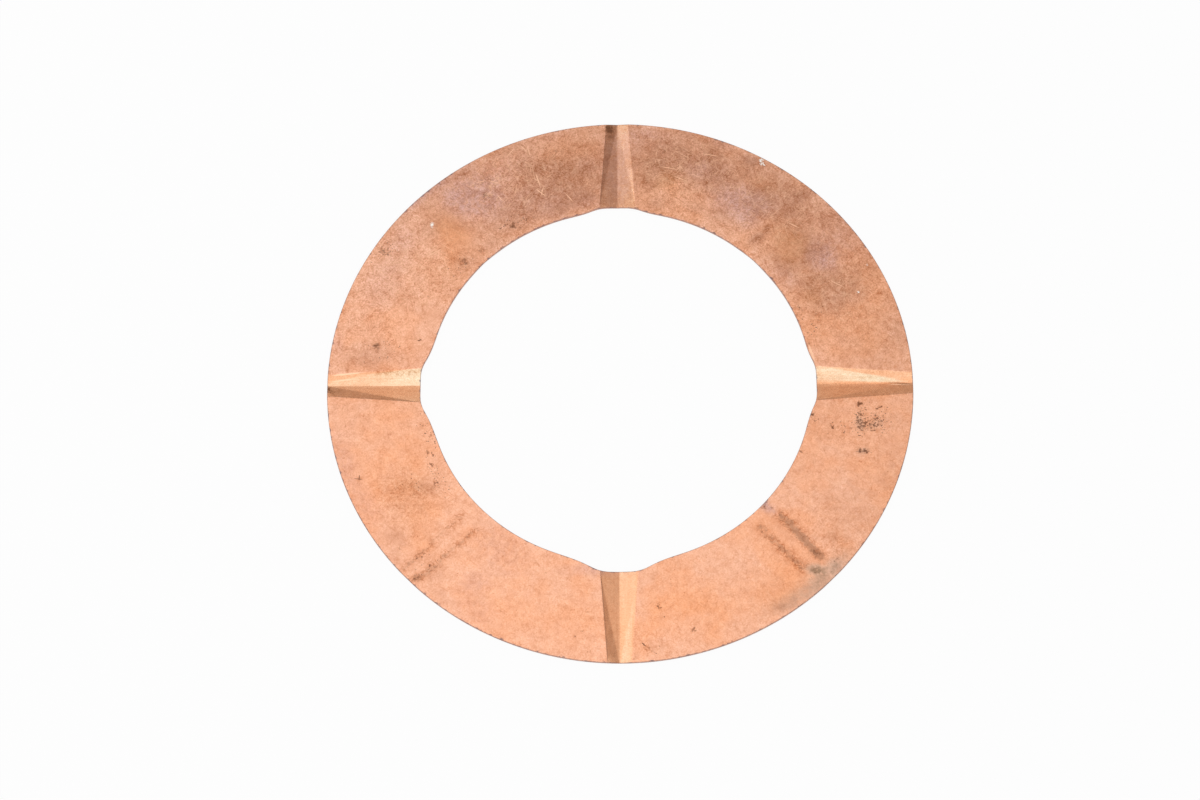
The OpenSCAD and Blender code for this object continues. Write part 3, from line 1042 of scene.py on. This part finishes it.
def make_camera():
    """A camera at the photograph's place, aimed at a point of the upper face."""
    tilt, yaw, roll = CAMERA_TILT, CAMERA_YAW, CAMERA_ROLL
    back = Vector((math.sin(yaw) * math.sin(tilt), -math.cos(yaw) * math.sin(tilt), math.cos(tilt)))
    right = Vector((math.cos(yaw), math.sin(yaw), 0))
    up = back.cross(right)
    turned_right = math.cos(roll) * right + math.sin(roll) * up
    turned_up = math.cos(roll) * up - math.sin(roll) * right
    data = bpy.data.cameras.new("photo_camera")
    data.sensor_width = SENSOR_W
    data.sensor_fit = "HORIZONTAL"
    data.lens = FOCAL_PIXELS / PHOTO_W * SENSOR_W
    data.clip_start = CLIP_START * MM
    camera = add_object("photo_camera", data)
    place = Vector((*CAMERA_AIM, SHEET)) * MM + back * CAMERA_DISTANCE * MM
    camera.matrix_world = Matrix((turned_right, turned_up, back)).transposed().to_4x4()
    camera.matrix_world.translation = place
    bpy.context.scene.camera = camera


# The floor: half its side, its distance below the washer, its grey, and the share of white that the
# camera and reflections see
FLOOR_HALF = 3000
FLOOR_DROP = 0.05
FLOOR_GREY = 0.85
FLOOR_WHITE = 0.94


def make_floor():
    """A wide pale floor that looks white to the camera and in reflections, and keeps the shadow."""
    half, z = FLOOR_HALF * MM, -FLOOR_DROP * MM
    corners = [(-half, -half, z), (half, -half, z), (half, half, z), (-half, half, z)]
    mesh = bpy.data.meshes.new("floor")
    mesh.from_pydata(corners, [], [(0, 1, 2, 3)])
    floor = add_object("floor", mesh)
    material = bpy.data.materials.new("floor_white")
    s = Shader(material)
    s.tree.nodes.remove(s.tree.nodes["Principled BSDF"])
    diffuse = s.add("BsdfDiffuse", {"Color": (FLOOR_GREY, FLOOR_GREY, FLOOR_GREY, 1)})
    glow = s.add("Emission", {"Color": (1, 1, 1, 1), "Strength": 1.0})
    rays = s.tree.nodes.new("ShaderNodeLightPath").outputs
    seen = s.most(rays["Is Camera Ray"], rays["Is Glossy Ray"], rays["Is Transmission Ray"])
    white = s.add("MixShader", {0: s.product(seen, FLOOR_WHITE), 1: diffuse, 2: glow})
    s.set(s.tree.nodes["Material Output"], "Surface", white)
    mesh.materials.append(material)


# The lamps: their height, and for each the left, right, front and back side and the radiance
LAMP_HEIGHT = 800
SOFTBOX = (-570, 250, -550, 475)
SOFTBOX_RADIANCE = 1.085
REFLECTOR = (-450, 350, 500, 750)
REFLECTOR_RADIANCE = 0.36
# The room is pale up to the first of these heights of a direction, and dim from the second
ROOM_FADE = (0.45, 0.8)
ROOM_PALE = 1.05
ROOM_DIM = 0.2


def add_lamp(name, sides, radiance):
    """A rectangular lamp that shines straight down."""
    left, right, front, back = (side * MM for side in sides)
    data = bpy.data.lights.new(name, "AREA")
    data.shape = "RECTANGLE"
    data.size, data.size_y = right - left, back - front
    data.energy = radiance * math.pi * data.size * data.size_y
    lamp = add_object(name, data)
    lamp.location = ((left + right) / 2, (front + back) / 2, LAMP_HEIGHT * MM)


def make_light():
    """A softbox overhead to the left, a reflector behind it, and a room pale around and dim above."""
    add_lamp("softbox", SOFTBOX, SOFTBOX_RADIANCE)
    add_lamp("reflector", REFLECTOR, REFLECTOR_RADIANCE)

    world = bpy.data.worlds.new("studio")
    s = Shader(world)
    up = s.add("SeparateXYZ", {0: s.add("TexCoord", {}, "Generated")}, "Z")
    start, end = ROOM_FADE
    inputs = {"Value": up, "From Min": start, "From Max": end, "To Min": ROOM_PALE, "To Max": ROOM_DIM}
    background = s.tree.nodes["Background"]
    s.set(background, "Color", (1, 1, 1, 1))
    s.set(background, "Strength", s.add("MapRange", inputs))
    bpy.context.scene.world = world


washer = add_object("struck_washer", washer_mesh())
washer.data.materials.append(worn_copper())
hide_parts(NODE)
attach(washer, "root")

make_camera()
make_floor()
make_light()
bpy.context.scene.view_settings.view_transform = "Standard"
